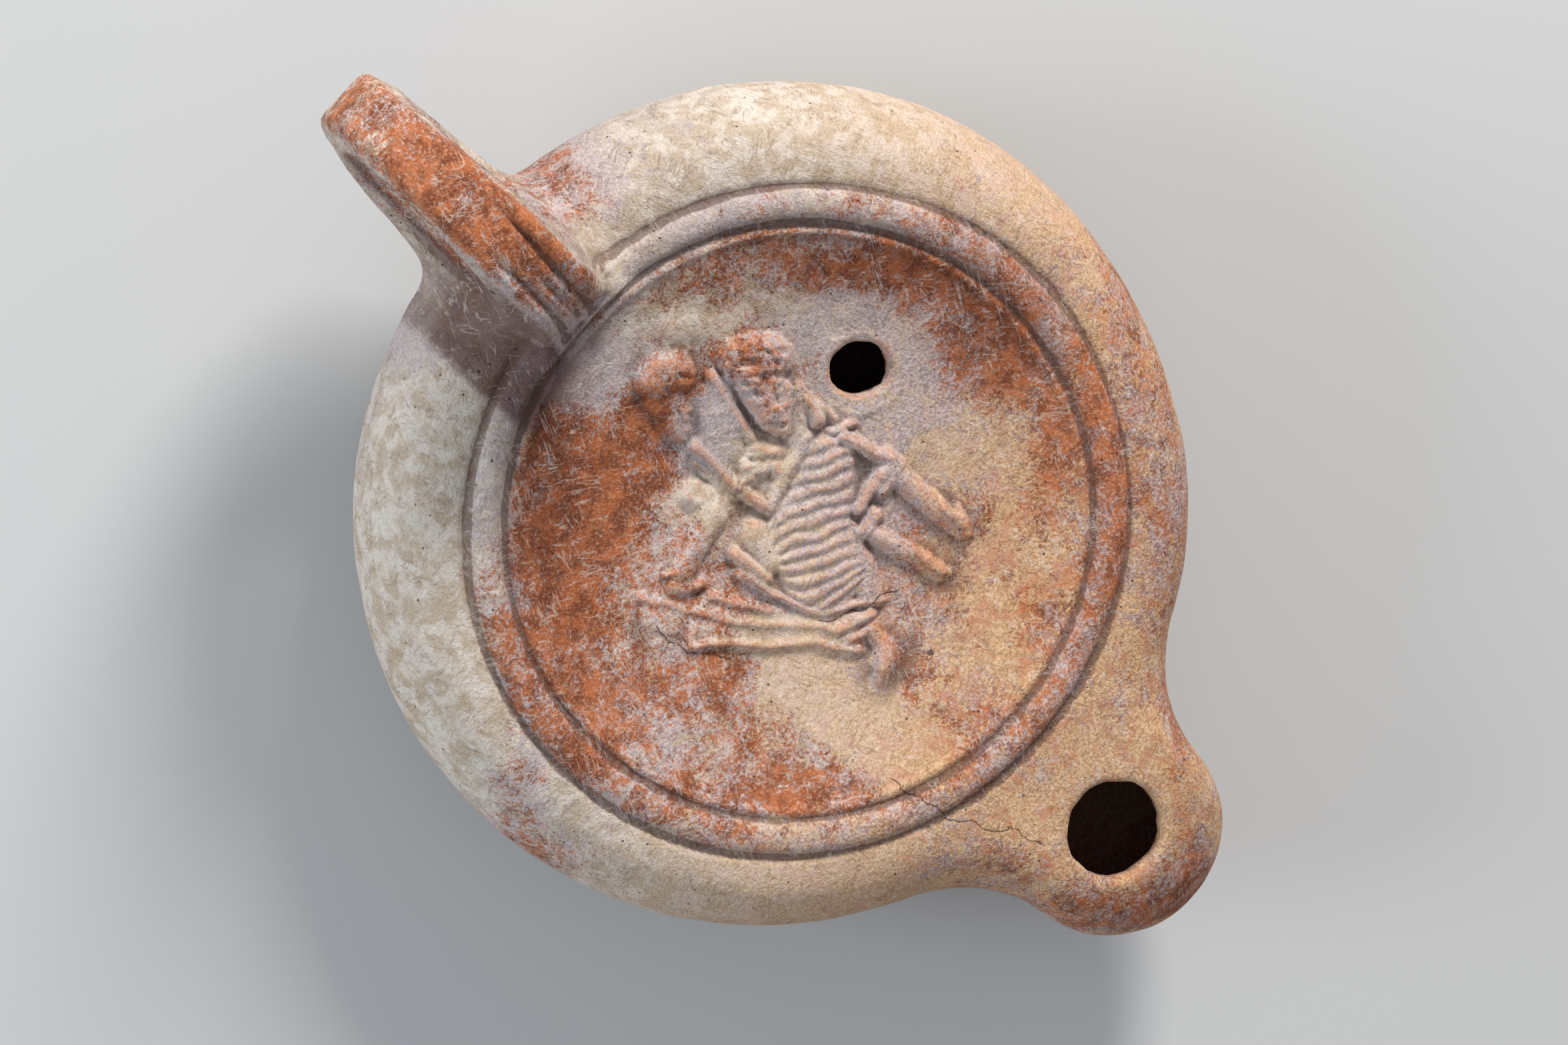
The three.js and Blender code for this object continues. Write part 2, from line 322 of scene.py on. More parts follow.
def refined(mesh, wanted):
    """Cuts each face whose middle is wanted into four."""
    form = bmesh.new()
    form.from_mesh(mesh)
    middles = np.array([face.calc_center_median() for face in form.faces]) / MM
    chosen = [face for face, keep in zip(form.faces, wanted(middles)) if keep]
    edges = list({edge for face in chosen for edge in face.edges})
    bmesh.ops.subdivide_edges(form, edges=edges, cuts=1, use_grid_fill=True)
    form.to_mesh(mesh)
    form.free()


def in_scene(x, y):
    """The lamp's X and Y, turned to run across the figures' scene and up it."""
    across = x * math.cos(scene_turn) - y * math.sin(scene_turn)
    return across, x * math.sin(scene_turn) + y * math.cos(scene_turn)


def near_figures(x, y):
    across, up = in_scene(x, y)
    return ((across / 18.5) ** 2 + ((up - 1) / 19) ** 2 < 1) & (across - up < 21.5)


def on_outside_top(middles):
    x, y, z = middles.T
    outer = body_distance(middles, True) > -1.2
    handle = handle_distance(middles) < 1
    return (outer & (z > 9)) | handle


def on_fine_parts(middles):
    x, y, z = middles.T
    outer = body_distance(middles, True) > -1.4
    ribs = (handle_distance(middles) < 1) & (np.abs(x - handle_x) < 5) & (z > 27) & (y < 52)
    circles = (np.hypot(x, y) > 28) & (np.hypot(x, y) < 34.8)
    return (outer & (circles | near_figures(x, y)) & (z > 15)) | ribs


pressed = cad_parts["lamp_body"].data.copy()
form = bmesh.new()
form.from_mesh(pressed)
bmesh.ops.remove_doubles(form, verts=form.verts, dist=0.002 * MM)
form.to_mesh(pressed)
form.free()
blank = bpy.data.objects.new("pressed_blank", pressed)
bpy.context.collection.objects.link(blank)
remesh = blank.modifiers.new("even_skin", "REMESH")
remesh.mode = "VOXEL"
remesh.voxel_size = first_skin * MM
clay = bpy.data.meshes.new_from_object(blank.evaluated_get(bpy.context.evaluated_depsgraph_get()))
bpy.data.objects.remove(blank)
clay.materials.clear()

set_points(clay, pulled_onto(shell_distance, points_of(clay)))
set_points(clay, evened(shell_distance, points_of(clay), edges_of(clay), 4))
for wanted in (on_outside_top, on_fine_parts):
    refined(clay, wanted)
    set_points(clay, pulled_onto(shell_distance, points_of(clay), 2))
    set_points(clay, evened(shell_distance, points_of(clay), edges_of(clay), 2))


# ---------------------------------------------------------------------------------------------------
# The scene on the discus: two draped figures on a couch, heads together, one reaching out with two
# pipes. It came out of a worn mould, so every edge is soft. u runs across the scene, v up it, in mm.

def limb(u, v, start, end, half_start, half_end, rise, fullness=0.62):
    """A rounded ridge from start to end, with its half widths at both and its height."""
    along_u, along_v = end[0] - start[0], end[1] - start[1]
    share = (u - start[0]) * along_u + (v - start[1]) * along_v
    share = np.clip(share / (along_u**2 + along_v**2), 0, 1)
    off = np.hypot(u - start[0] - share * along_u, v - start[1] - share * along_v)
    left = 1 - (off / (half_start + (half_end - half_start) * share)) ** 2
    return rise * np.where(left > 0, np.maximum(left, 0) ** fullness, np.maximum(left, -1))


def merged(soft, *heights):
    whole = heights[0]
    for height in heights[1:]:
        whole = smooth_max(whole, height, soft)
    return whole


def folds(phase):
    """Rounded folds with narrow valleys, one to each unit of the phase."""
    return 1 - np.abs(2 * np.mod(phase, 1) - 1) ** 2.4


def within(value, low, high, soft=0.5):
    return smooth_step(value, low - soft, low + soft) * (1 - smooth_step(value, high - soft, high + soft))


def locks(u, v, size, seed):
    """Rounded locks of hair with creases between them, one to each square of a loose grid."""
    column, row = np.floor(u / size), np.floor(v / size)
    nearest = np.full(len(u), 9.0)
    for i in (-1, 0, 1):
        for j in (-1, 0, 1):
            key = (column + i) * 127.1 + (row + j) * 311.7 + seed
            shift_u = 0.15 + 0.7 * np.mod(np.abs(np.sin(key)) * 43758.5, 1)
            shift_v = 0.15 + 0.7 * np.mod(np.abs(np.sin(key * 1.7 + 5)) * 24634.6, 1)
            off = (u / size - column - i - shift_u) ** 2 + (v / size - row - j - shift_v) ** 2
            nearest = np.minimum(nearest, off)
    return 1 - np.minimum(nearest, 0.6) / 0.6


def left_figure(u, v):
    hair = limb(u, v, (-14.0, 14.3), (-12.6, 14.7), 2.5, 2.4, 1.5)
    hair = hair + 0.65 * (locks(u + 0.3 * v, v, 0.85, 3) - 0.3) * within(hair, 0.5, 9, 0.3)
    face = limb(u, v, (-12.9, 12.2), (-12.0, 9.2), 2.2, 1.5, 1.25)
    brow = limb(u, v, (-12.6, 11.6), (-10.9, 11.2), 0.45, 0.35, 1.35)
    nose = limb(u, v, (-11.5, 11.1), (-11.0, 10.2), 0.35, 0.45, 1.45)
    lips = limb(u, v, (-11.6, 9.3), (-10.9, 9.2), 0.35, 0.3, 1.25)
    chin = limb(u, v, (-11.8, 8.4), (-11.5, 8.2), 0.7, 0.6, 1.2)
    chest = limb(u, v, (-8.0, 12.4), (-7.0, 6.9), 2.2, 2.4, 1.0)
    pleats = folds((v - 0.05 * (u + 7.4) ** 2 + 0.12 * np.sin(u)) / 0.78)
    chest = chest + 0.24 * pleats * within(v, 7.9, 11.1, 0.4) * within(chest, 0.3, 9, 0.2)
    arm = limb(u, v, (-10.0, 7.5), (-5.7, 3.1), 0.95, 0.8, 1.55)
    sleeve_edge = limb(u, v, (-9.9, 5.8), (-5.8, 1.9), 0.5, 0.45, 0.95)
    inner_edge = limb(u, v, (-8.6, 7.5), (-5.1, 3.3), 0.32, 0.32, 1.0)
    hand = limb(u, v, (-4.9, 2.6), (-3.0, 1.4), 0.9, 0.7, 1.15)
    hand = hand + 0.3 * folds((u + 0.35 * v) / 0.72) * within(hand, 0.3, 9, 0.2)
    hip = limb(u, v, (-9.9, 2.5), (-7.3, 1.5), 1.6, 1.8, 0.95, 0.9)
    hip = hip + 0.3 * (locks(v, u, 1.3, 6) - 0.5) * within(hip, 0.3, 9, 0.3)
    shin = limb(u, v, (-8.2, 0.6), (-11.3, -5.2), 1.9, 1.3, 1.5)
    shoe = limb(u, v, (-12.0, -6.7), (-9.2, -6.2), 1.2, 0.65, 1.4)
    welt = limb(u, v, (-12.9, -5.3), (-10.6, -5.1), 0.3, 0.3, 1.5)
    head = merged(0.25, hair, face, brow, nose, lips, chin)
    body = merged(0.22, chest, arm, sleeve_edge, inner_edge, hand, hip, shin, shoe, welt)
    return smooth_max(head, body, 0.2)


def bearded_head(u, v):
    mane = merged(
        0.5,
        limb(u, v, (-5.4, 15.9), (-3.1, 16.1), 2.7, 2.7, 1.75),
        limb(u, v, (-3.9, 14.6), (-2.5, 10.6), 2.9, 1.9, 1.9),
    )
    straight_edge = np.minimum(1.1 - 1.5 * (u + 1.1), 2)
    mane = -smooth_max(-mane, -straight_edge, 0.3)
    curls = locks(u, v, 1.05, 8) + 0.5 * locks(v, u, 0.6, 2)
    mane = mane + 0.75 * (curls - 0.6) * within(mane, 0.5, 9, 0.3)
    brow = limb(u, v, (-2.6, 11.1), (-1.1, 11.5), 0.4, 0.35, 2.2)
    nose = limb(u, v, (-1.5, 10.9), (-1.2, 9.9), 0.35, 0.45, 2.2)
    cheek = limb(u, v, (-2.9, 9.8), (-1.4, 9.1), 0.8, 0.7, 1.75)
    lock = limb(u, v, (-0.9, 13.4), (-0.7, 8.6), 0.5, 0.4, 1.5)
    beard = merged(
        0.2,
        limb(u, v, (-3.9, 6.6), (-2.0, 6.7), 1.3, 1.2, 1.15, 0.9),
        limb(u, v, (-4.6, 4.9), (-3.0, 4.8), 1.3, 1.1, 1.1, 0.9),
        limb(u, v, (-2.3, 5.4), (-1.4, 4.4), 1.1, 1.0, 1.0, 0.9),
        limb(u, v, (-5.5, 3.5), (-4.4, 3.9), 0.7, 0.9, 1.0, 0.9),
    )
    beard = beard + 0.5 * (locks(u, v, 0.8, 5) - 0.5) * within(beard, 0.3, 9, 0.3)
    neck_band = limb(u, v, (-8.8, 14.2), (-4.4, 7.9), 0.8, 0.75, 1.2)
    return merged(0.2, mane, brow, nose, cheek, lock, beard, neck_band)


def right_figure(u, v):
    shawl = merged(
        0.3,
        limb(u, v, (0.2, 12.8), (0.7, 7.6), 0.85, 1.0, 0.85),
        limb(u, v, (1.2, 7.9), (-2.2, 1.2), 1.05, 0.8, 1.0),
    )
    shawl = shawl + 0.14 * folds((u + 0.5 * v) / 0.85) * within(shawl, 0.3, 9, 0.2)
    knot = merged(
        0.15,
        limb(u, v, (1.2, 12.0), (2.3, 9.6), 0.75, 0.95, 1.45),
        limb(u, v, (0.6, 13.2), (3.9, 9.8), 0.4, 0.5, 0.95),
        limb(u, v, (3.7, 8.6), (6.0, 9.4), 0.55, 0.5, 1.15),
    )
    torso = merged(
        0.6,
        limb(u, v, (3.8, 5.7), (1.9, -1.6), 2.7, 4.3, 1.25, 0.5),
        limb(u, v, (1.7, -1.8), (3.3, -5.4), 4.3, 4.4, 1.35, 0.5),
    )
    lap = 1 - smooth_step(v, -7.5, -3)
    slant = 0.29 * u - 0.09 * np.minimum(u - 0.2, 0) ** 2
    hanging = 0.29 * u + np.where(u < 2.4, 0.14, 0.09) * (u - 2.4) ** 2
    course = v - slant * (1 - lap) - hanging * lap
    course = course + 0.08 * np.sin(1.3 * u + 0.8 * v)
    torso = torso + 0.66 * (folds(course / 1.5 + 0.1) - 0.35) * within(torso, 0.5, 9, 0.4)
    side = limb(u, v, (5.6, -1.6), (8.0, -7.6), 1.1, 1.6, 0.85)
    side_line = limb(u, v, (6.2, -0.6), (9.0, -8.0), 0.3, 0.3, 1.05)
    hem = limb(u, v, (-1.9, -7.4), (2.8, -9.9), 0.45, 0.5, 1.2)
    hem_right = limb(u, v, (2.8, -9.9), (9.4, -8.3), 0.5, 0.35, 1.1)
    upper_arm = limb(u, v, (4.9, 8.1), (9.7, 5.8), 0.8, 0.95, 1.75)
    forearm = limb(u, v, (9.6, 5.2), (6.7, 0.9), 0.95, 0.85, 1.6)
    cuff = limb(u, v, (10.5, 4.9), (9.0, 2.5), 1.15, 1.0, 1.3)
    cuff = cuff + 0.45 * (folds((0.78 * u - 0.55 * v) / 0.78) - 0.3) * within(cuff, 0.3, 9, 0.2)
    wrist = limb(u, v, (8.4, 0.2), (7.2, -1.7), 0.95, 0.9, 1.35)
    wrist = wrist + 0.4 * (folds((0.84 * u - 0.4 * v) / 0.75) - 0.3) * within(wrist, 0.3, 9, 0.2)
    knees = merged(
        0.12,
        limb(u, v, (-3.8, -1.6), (-1.9, -4.3), 1.7, 1.4, 1.15),
        limb(u, v, (-5.7, -3.5), (-2.5, -5.9), 0.95, 0.7, 1.3),
        limb(u, v, (-5.3, -5.4), (-2.3, -7.2), 0.75, 0.5, 1.1),
    )
    feet = merged(
        0.12,
        limb(u, v, (4.8, -11.2), (7.9, -10.0), 0.8, 0.75, 1.4),
        limb(u, v, (5.8, -12.2), (8.3, -11.3), 0.6, 0.6, 1.2),
        limb(u, v, (8.0, -11.4), (9.2, -12.8), 0.95, 1.0, 1.2),
        limb(u, v, (9.6, -13.5), (8.8, -17.0), 1.5, 0.35, 1.55, 0.8),
    )
    dress = merged(0.25, torso, side, side_line, hem, hem_right, shawl)
    arms = merged(0.15, upper_arm, forearm, cuff, wrist, knot)
    return merged(0.18, dress, arms, knees, feet)


def pipes(u, v):
    upper = limb(u, v, (11.2, 3.4), (16.6, -1.0), 1.25, 1.35, 1.5)
    lower = limb(u, v, (8.0, -1.8), (14.6, -5.2), 1.05, 1.15, 1.35)
    holders = merged(
        0.15,
        limb(u, v, (15.1, 0.9), (15.8, 0.0), 0.85, 0.85, 2.1),
        limb(u, v, (16.5, -0.1), (16.9, -1.0), 0.95, 0.95, 2.1),
        limb(u, v, (16.9, -1.9), (17.4, -2.0), 0.8, 0.7, 1.7),
        limb(u, v, (12.4, -3.4), (12.7, -4.1), 0.75, 0.75, 1.8),
        limb(u, v, (13.7, -4.2), (13.9, -5.0), 0.75, 0.75, 1.8),
        limb(u, v, (14.9, -5.2), (15.3, -5.6), 0.85, 0.75, 1.6),
    )
    return merged(0.15, upper, lower, holders)


def couch(u, v):
    seat = limb(u, v, (-13.4, -9.0), (5.6, -11.9), 2.1, 2.2, 0.55, 0.3)
    top_rail = merged(
        0.1,
        limb(u, v, (-15.6, -7.4), (-10.0, -9.1), 0.4, 0.5, 0.9),
        limb(u, v, (-10.0, -9.1), (-2.8, -10.7), 0.55, 0.55, 1.05),
        limb(u, v, (-2.8, -10.7), (5.0, -11.2), 0.55, 0.5, 1.0),
        limb(u, v, (-8.2, -7.6), (-2.2, -9.2), 0.7, 0.6, 1.0),
    )
    lower_rail = merged(
        0.1,
        limb(u, v, (-10.4, -12.3), (-3.6, -12.7), 0.5, 0.5, 1.0),
        limb(u, v, (-3.6, -12.7), (2.2, -12.6), 0.5, 0.55, 0.95),
        limb(u, v, (2.2, -12.6), (7.0, -13.4), 0.55, 0.5, 1.0),
        limb(u, v, (-10.1, -10.6), (-10.6, -12.4), 0.4, 0.4, 0.95),
    )
    return merged(0.12, seat, top_rail, lower_rail)


def scene_height(u, v):
    place = np.stack([u, v, 0 * u], axis=1)
    u = u + 0.24 * clay_noise(place, 2.1, 21) + 0.1 * clay_noise(place, 0.9, 22)
    v = v + 0.24 * clay_noise(place, 2.1, 23) + 0.1 * clay_noise(place, 0.9, 24)
    scene = merged(0.18, left_figure(u, v), bearded_head(u, v), right_figure(u, v), pipes(u, v), couch(u, v))
    crust = limb(u, v, (-13.4, 19.3), (-10.2, 19.0), 1.7, 1.8, 0.4, 1.2)
    crust = crust + 0.25 * (locks(u, v, 0.55, 11) - 0.4) * within(crust, 0.05, 9, 0.15)
    hole_u, hole_v = 6.4, 14.8
    from_hole = np.hypot(u - hole_u, v - hole_v)
    side = within(np.arctan2(v - hole_v, u - hole_u), -2.5, -0.3, 0.4)
    collar = 0.3 * np.exp(-(((from_hole - 4.5) / 0.45) ** 2)) * side
    lip = 0.2 * np.exp(-(((from_hole - 3.6) / 0.35) ** 2))
    ground_blend = 0.15
    raised = smooth_max(merged(0.2, scene, crust), 0 * u, ground_blend)
    return raised - ground_blend / 4 + collar + lip


def on_figures(middles):
    x, y, z = middles.T
    across, up = in_scene(x, y)
    outer = (body_distance(middles, True) > -1.2) & (np.hypot(x, y) < discus_radius - 1.2)
    around = ((0.4, 0), (-0.4, 0), (0, 0.4), (0, -0.4))
    raised = np.max([scene_height(across + step_u, up + step_v) for step_u, step_v in around], axis=0)
    return outer & (z > 15) & (raised > 0.04)


refined(clay, on_figures)
points = pulled_onto(shell_distance, points_of(clay), 2)
points = evened(shell_distance, points, edges_of(clay), 2)
points = pulled_onto(shell_distance, points, 2)
x, y, z = points.T
across, up = in_scene(x, y)
in_dish = (np.hypot(x, y) < discus_radius - 1.2) & (z > 18.5) & (body_distance(points, True) > -1.2)
rising = np.where(in_dish, scene_height(across, up), 0)
worn_share = 0.88
rising = worn_share * averaged(rising, edges_of(clay), 3)
outer_skin = smooth_step(body_distance(points, True), -2.0, -0.5)
waver = 0.16 * clay_noise(points, 11, 1) + 0.08 * clay_noise(points, 4.5, 2)
waver += 0.04 * clay_noise(points, 1.7, 3)
lumps = 0.05 * clay_noise(points, 0.9, 4) * smooth_step(rising, 0.1, 0.6)
normals = slope_of(shell_distance, points)
normals /= np.maximum(np.linalg.norm(normals, axis=1), 1e-6)[:, None]
above_foot = smooth_step(z, 0.3, 3)
points = points + normals * (waver * outer_skin * above_foot + lumps)[:, None]
points[:, 2] += rising
set_points(clay, points)

form = bmesh.new()
form.from_mesh(clay)
bmesh.ops.triangulate(form, faces=[f for f in form.faces if len(f.verts) > 3])
form.to_mesh(clay)
form.free()


# ---------------------------------------------------------------------------------------------------
# Wear, with painted light and shade: how far each layer still reaches, kept on the skin as numbers from 0 to
# 1. Bare orange clay shows where hands and the mould's high places rubbed; cream slip and a lilac lime film
#    lie over it.
# The handle's painted shadow and other painted shade, partly real stain, and a painted pale sheen on the
# left side are kept here too.

def spread(*patches):
    """Soft patches, each with its middle, its reach across and up, and its amount."""
    total = np.zeros(len(points))
    for (middle_u, middle_v), (reach_u, reach_v), amount in patches:
        off = ((across - middle_u) / reach_u) ** 2 + ((up - middle_v) / reach_v) ** 2
        total += amount * np.exp(-off)
    return total


radius, turn = np.hypot(x, y), np.arctan2(up, across)
in_discus = 1 - smooth_step(radius, 29, 30)
on_handle = 1 - smooth_step(handle_distance(points), 0, 2.5)
bare_in_discus = spread(
    ((-21.5, 2), (6, 10), 0.95),
    ((-24.5, -8), (4, 6), 0.6),
    ((-15, 9), (4, 5), 0.5),
    ((6, 24.5), (11, 3.5), 0.7),
    ((18.5, 18), (5, 6), 0.85),
    ((26, 8), (2.5, 7), 0.5),
    ((20, -20), (7, 4), 0.3),
    ((25, -11), (3, 5), 0.3),
    ((20, -1), (8, 9), 0.15),
    ((-13, -17), (8, 5), 0.4),
    ((-3, -27), (12, 2.5), 0.55),
    ((-19, -19), (5, 5), 0.35),
    ((-4.5, 15), (4, 4), 0.55),
    ((-13, 14), (4, 3), 0.5),
)
bare_outside = spread(
    ((-24.5, 34.5), (6, 6), 0.9),
    ((-27.5, -25.5), (3.5, 5), 0.65),
    ((-27, -34), (6, 3.5), 0.75),
    ((-3, 43.5), (9, 1.2), 0.45),
    ((34, 17), (4, 12), 0.5),
    ((39, 2), (4, 12), 0.6),
    ((28, 26), (8, 7), 0.4),
    ((20, -35), (7, 3), 0.6),
    ((32, -41), (9, 3.5), 0.85),
    ((42, -38), (4, 5), 0.9),
    ((40.5, -21), (3, 8), 0.7),
    ((-38.5, 18), (2.5, 4), 0.6),
    ((29, -29), (6, 5), 0.15),
)
on_band = within(radius, discus_radius - 0.3, outer_groove - 0.1)
band_left = on_band * np.exp(-(((turn + 2.5) / 0.45) ** 2))
bare = bare_in_discus * in_discus + bare_outside * (1 - in_discus) + 0.7 * band_left
bare = bare * (1 - 0.6 * on_handle)
on_strip = on_handle * (1 - smooth_step(np.abs(x - handle_x), 3.0, 4.0))
hole_y, hole_z, _, hole_mouth = handle_hole
in_mouth = 1 - smooth_step(np.hypot(y - hole_y, z - hole_z), hole_mouth, hole_mouth + 1.5)
in_funnel = on_handle * (1 - on_strip) * in_mouth
bare += on_band * (0.28 + 0.35 * np.exp(-(((turn - 0.2) / 0.8) ** 2)))
bare += 0.15 * on_handle + on_strip * (0.24 * smooth_step(z, 26, 31) + 0.3 * smooth_step(z, 37, 43))
bare += 0.7 * in_funnel
lilac_in_discus = spread(
    ((9, 9), (7, 8), 0.7),
    ((3, 20), (5, 3), 0.6),
    ((2, -2), (6, 9), 0.6),
    ((-8, 9), (4, 4), 0.5),
    ((-14, -17), (8, 5), 0.1),
    ((6.5, -19), (4, 5), 0.6),
    ((-21, 17), (6, 5), 0.5),
)
lilac_outside = spread(
    ((-38, 10), (7, 10), 0.85),
    ((-12, 38), (9, 5), 0.6),
    ((-29, 20), (5, 6), 0.5),
    ((-6, -38), (16, 6), 0.1),
)
lilac = 0.45 + lilac_in_discus * in_discus + (lilac_outside + 0.18) * (1 - in_discus)
lilac -= 0.2 * on_strip
lilac += on_band * (0.3 * np.exp(-(((turn - 2.6) / 1.0) ** 2)) - 0.05)
streak_middle = np.abs((up + 15) + 0.7 * (across + 1)) / 1.22
streak = np.exp(-((streak_middle / 3.2) ** 2)) * within(across - 0.6 * up, 7, 30, 2)
cream_in_discus = 0.7 * streak + spread(
    ((22, -3), (8, 10), 0.2),
    ((22, -14), (5, 5), 0.35),
    ((17, 8), (5, 5), 0.25),
    ((-8.7, 2), (2.5, 2), 0.7),
    ((-3, 5.5), (2.2, 2.5), 0.8),
    ((-3, -3), (2, 3), 0.5),
    ((-2, -11.5), (4, 1.6), 0.6),
    ((-11, 19.5), (4, 2), 0.5),
    ((-2, 22), (5, 2), 0.4),
)
cream_outside = spread(
    ((6, 40), (10, 6), 0.4),
    ((-36, -8), (7, 14), 0.3),
    ((28, 27), (8, 8), 0.2),
    ((0, -38), (18, 6), 0.2),
    ((36, -30), (5, 5), 0.2),
    ((24, -31), (5, 3), 0.3),
    ((-21, 26.5), (2.5, 2.5), 0.7),
)
cream = 0.44 + 0.2 * (1 - in_discus) - 0.1 * on_band - 0.1 * on_strip
cream += cream_in_discus * in_discus + cream_outside * (1 - in_discus)
# Stain and painted shade together: the handle's cast shadow on the facet left of its root, the shaded funnel
# of its hole and its flanks, and darker patches in the sunk discus, partly real stain and partly painted
# shade of the bowl.
facet_edge = (across + 34.8) * 0.69 + (up - 16.2) * 0.72
stain_and_shade = smooth_step(facet_edge, -0.5, 0.8) * spread(((-30.5, 17.5), (7, 7), 1.8)) + spread(
    ((-25, 3), (5, 12), 0.6),
    ((6, 25), (13, 4), 0.5),
    ((19, 19), (6, 6), 0.45),
    ((-12, 10), (4, 5), 0.35),
)
stain_and_shade = stain_and_shade * (1 - on_strip) + 0.8 * in_funnel + 0.3 * on_handle * (1 - on_strip)

skin_edges = edges_of(clay)
smoothed = np.stack([averaged(points[:, axis], skin_edges, 6) for axis in range(3)], axis=1)
relief = ((points - smoothed) * normals).sum(axis=1)
crests = np.maximum(relief, 0) * (1 - smooth_step(radius, 27.5, 28.5))
relief = crests + np.minimum(relief, 0) * (1 - smooth_step(radius, 34.3, 35.3) + 0.6 * on_handle)


def crack_offset(path, waver_size, seed):
    """Signed distance from a hairline crack; far from its two ends it is out of reach."""
    (from_u, from_v), (to_u, to_v) = path
    length = math.hypot(to_u - from_u, to_v - from_v)
    along_u, along_v = (to_u - from_u) / length, (to_v - from_v) / length
    along = (across - from_u) * along_u + (up - from_v) * along_v
    beside = (across - from_u) * along_v - (up - from_v) * along_u
    beside += 0.5 * np.sin(along / waver_size + seed) + 0.2 * np.sin(3.1 * along / waver_size + seed)
    return beside + np.sign(beside) * 50 * np.clip(np.maximum(-along, along - length), 0, 1)


marks = {
    "bare": np.clip(bare, 0, 1),
    "lilac": np.clip(lilac - 0.25 * bare, 0, 1),
    "cream": np.clip(cream - 0.5 * bare, 0, 1),
    # painted shade (handle shadow, hole funnel, shaded discus) with some real stain
    "stain_and_shade": np.clip(stain_and_shade, 0, 1),
    # 0 on the left, where a painted pale bluish sheen goes, to 1 on the right, where the tones are warmer
    "sheen_to_warmth": smooth_step(across - 0.3 * up, -22, 34),
    "relief": np.clip(relief, -0.5, 0.5),
    # the inner skin, painted darker as shade where it is seen down the holes
    "inside": 1 - smooth_step(body_distance(points, True), -2.6, -1.2),
    "crack_nozzle": crack_offset(((9.2, -26.8), (25.5, -33.6)), 2.2, 1),
    "crack_couch": crack_offset(((-14.3, -11), (-6, -14.2)), 1.6, 2),
    "crack_skirt": crack_offset(((2.6, -10.4), (11.4, -7.6)), 1.9, 3),
}
for name, values in marks.items():
    clay.attributes.new(name, "FLOAT", "POINT").data.foreach_set("value", values.astype(np.float32))


# ---------------------------------------------------------------------------------------------------
# The fired clay's look: orange body, lilac film, cream slip, rubbed crests with a painted highlight, dirt
# and painted shade in the hollows, painted shade inside and by the handle, a painted pale sheen on the left,
# fibres and pores.

def put(tree, kind, inputs=None, **settings):
    made = tree.nodes.new(kind)
    for name, value in settings.items():
        setattr(made, name, value)
    for name, value in (inputs or {}).items():
        if isinstance(value, bpy.types.NodeSocket):
            tree.links.new(value, made.inputs[name])
        else:
            made.inputs[name].default_value = value
    return made


def calc(tree, operation, *values, clamp=False):
    values = dict(enumerate(values))
    return put(tree, "ShaderNodeMath", values, operation=operation, use_clamp=clamp).outputs[0]


def blend(tree, share, under, over, kind="MIX"):
    made = put(tree, "ShaderNodeMix", {0: share, 6: under, 7: over}, data_type="RGBA", blend_type=kind)
    return made.outputs[2]


def ease(tree, value, low, high):
    inputs = {"Value": value, "From Min": low, "From Max": high}
    return put(tree, "ShaderNodeMapRange", inputs, interpolation_type="SMOOTHSTEP").outputs[0]


def noise(tree, place, scale, detail=3.0, rough=0.6, distortion=0.0):
    inputs = {"Vector": place, "Scale": scale, "Detail": detail}
    inputs |= {"Roughness": rough, "Distortion": distortion}
    return put(tree, "ShaderNodeTexNoise", inputs).outputs[0]


def shade(red, green, blue):
    """A colour as it is seen, turned into the linear colour the shader works in."""
    return tuple(((c / 255 + 0.055) / 1.055) ** 2.4 for c in (red, green, blue)) + (1,)


layer = bpy.data.node_groups.new("worn_layer", "ShaderNodeTree")
layer.interface.new_socket("Place", in_out="INPUT", socket_type="NodeSocketVector")
layer.interface.new_socket("Extent", in_out="INPUT", socket_type="NodeSocketFloat")
layer.interface.new_socket("Shift", in_out="INPUT", socket_type="NodeSocketFloat")
layer.interface.new_socket("Edge", in_out="INPUT", socket_type="NodeSocketFloat")
layer.interface.new_socket("Left", in_out="OUTPUT", socket_type="NodeSocketFloat")
given = layer.nodes.new("NodeGroupInput")
shifted = put(layer, "ShaderNodeVectorMath", {0: given.outputs["Place"], 1: given.outputs["Shift"]})
moved = shifted.outputs[0]
broad = noise(layer, moved, 0.17, 3.0, 0.6, 0.6)
flecks = noise(layer, moved, 0.75, 4.0, 0.75, 1.2)
grain = noise(layer, moved, 3.6, 3.0, 0.7, 0.8)
level = calc(layer, "MULTIPLY_ADD", flecks, 0.42, calc(layer, "MULTIPLY", broad, 0.28))
level = calc(layer, "MULTIPLY_ADD", grain, 0.30, level)
limit = calc(layer, "MULTIPLY_ADD", given.outputs["Extent"], 0.34, 0.33)
over_limit = calc(layer, "DIVIDE", calc(layer, "SUBTRACT", limit, level), given.outputs["Edge"])
left = calc(layer, "ADD", over_limit, 0.5, clamp=True)
layer.links.new(left, layer.nodes.new("NodeGroupOutput").inputs["Left"])

fired = bpy.data.materials.new("fired_clay")
fired.use_nodes = True
tree = fired.node_tree
surface = tree.nodes["Principled BSDF"]
place = put(tree, "ShaderNodeTexCoord").outputs["Object"]
place = put(tree, "ShaderNodeVectorMath", {0: place, "Scale": 1 / MM}, operation="SCALE").outputs[0]


def mark(name):
    return put(tree, "ShaderNodeAttribute", attribute_name=name).outputs["Fac"]


def worn_layer(extent, shift, edge):
    group = put(tree, "ShaderNodeGroup", node_tree=layer)
    tree.links.new(place, group.inputs["Place"])
    tree.links.new(extent, group.inputs["Extent"])
    group.inputs["Shift"].default_value = shift
    group.inputs["Edge"].default_value = edge
    return group.outputs["Left"]


